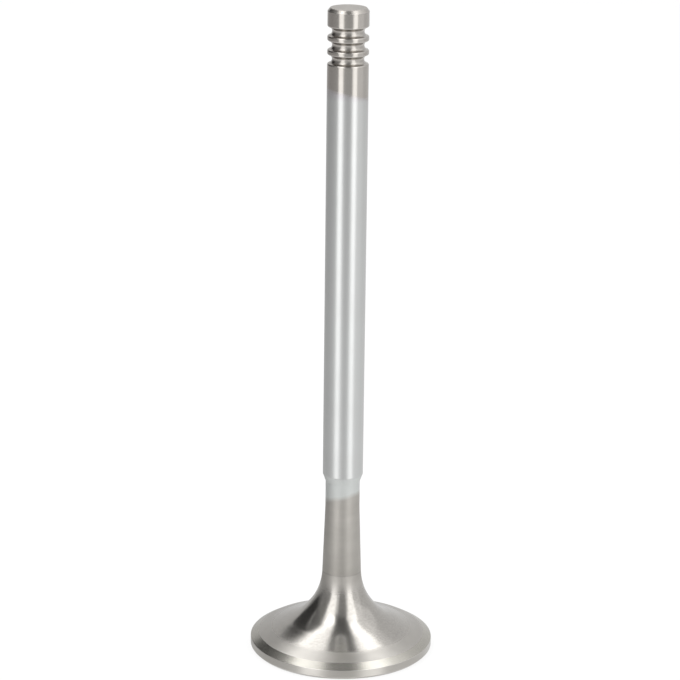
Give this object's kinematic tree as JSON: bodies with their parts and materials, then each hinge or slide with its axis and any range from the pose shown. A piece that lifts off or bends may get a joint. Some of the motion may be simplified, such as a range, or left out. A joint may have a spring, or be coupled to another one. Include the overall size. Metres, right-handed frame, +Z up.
{
  "type": "engine valve",
  "caption": "Poppet valve: flat round head with a ground conical seat, tulip sweep into a relieved neck, long ground stem and grooved keeper end.",
  "frame": {"origin": "centre of the flat combustion face, on which the valve stands", "axes": "+Z up the stem's axis, from the head to the tip; X and Y are equal, because the valve is round"},
  "size_m": [0.041, 0.041, 0.146],
  "materials": {
    "valve_steel": "turned and ground valve steel, with hard-chrome plating on most of the stem"
  },
  "bodies": {
    "root": {"valve": "valve_steel"}
  },
  "joints": []
}
